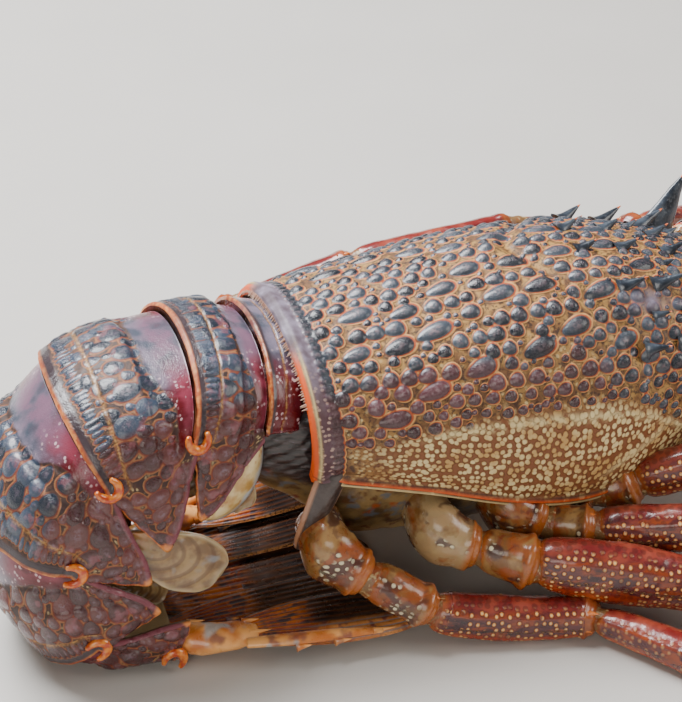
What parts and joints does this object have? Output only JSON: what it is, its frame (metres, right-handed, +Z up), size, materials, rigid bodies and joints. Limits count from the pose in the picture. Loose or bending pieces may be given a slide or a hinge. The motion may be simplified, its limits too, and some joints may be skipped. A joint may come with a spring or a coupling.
{
  "type": "spiny lobster",
  "caption": "Still, life-size model of a spiny lobster, its abdomen curled under the body, horns over the eyes and legs reaching forward.",
  "frame": {"origin": "centre of the box's underside, on the floor the model stands on", "axes": "+X the way the head looks, +Y the animal's left side, +Z up"},
  "size_m": [0.4682, 0.3184, 0.0789],
  "materials": {
    "shell": "wet slate and purple-brown shell with orange edges",
    "leg": "wet red-orange and purple-brown leg shell",
    "feeler": "ringed red-brown feeler",
    "membrane": "thin cream fan and swimming leaf",
    "flesh": "cream and tan underside skin",
    "eye": "black-brown, polished"
  },
  "bodies": {
    "root": {"abdomen_1": "shell", "abdomen_2": "shell", "abdomen_3": "shell", "abdomen_4": "shell", "abdomen_5": "shell", "abdomen_6": "shell", "antenna_base_left": "shell", "antenna_base_right": "shell", "antenna_tip_left": "feeler", "antenna_tip_right": "feeler", "antenna_whip_left": "feeler", "antenna_whip_right": "feeler", "antennule_left": "feeler", "antennule_right": "feeler", "carapace": "shell", "eye_left": "eye", "eye_right": "eye", "fan_inner_left": "membrane", "fan_inner_right": "membrane", "fan_outer_left": "shell", "fan_outer_right": "shell", "head": "shell", "leg_left_1_lower": "leg", "leg_left_1_upper": "leg", "leg_left_2_lower": "leg", "leg_left_2_upper": "leg", "leg_left_3_lower": "leg", "leg_left_3_upper": "leg", "leg_left_4_lower": "leg", "leg_left_4_upper": "leg", "leg_left_5_lower": "leg", "leg_left_5_upper": "leg", "leg_right_1_lower": "leg", "leg_right_1_upper": "leg", "leg_right_2_lower": "leg", "leg_right_2_upper": "leg", "leg_right_3_lower": "leg", "leg_right_3_upper": "leg", "leg_right_4_lower": "leg", "leg_right_4_upper": "leg", "leg_right_5_lower": "leg", "leg_right_5_upper": "leg", "mouth_leg_left": "leg", "mouth_leg_right": "leg", "swim_leaf_1_left": "membrane", "swim_leaf_1_right": "membrane", "swim_leaf_2_left": "membrane", "swim_leaf_2_right": "membrane", "swim_leaf_3_left": "membrane", "swim_leaf_3_right": "membrane", "swim_leaf_4_left": "membrane", "swim_leaf_4_right": "membrane", "telson": "shell", "thorax": "flesh"}
  },
  "joints": []
}
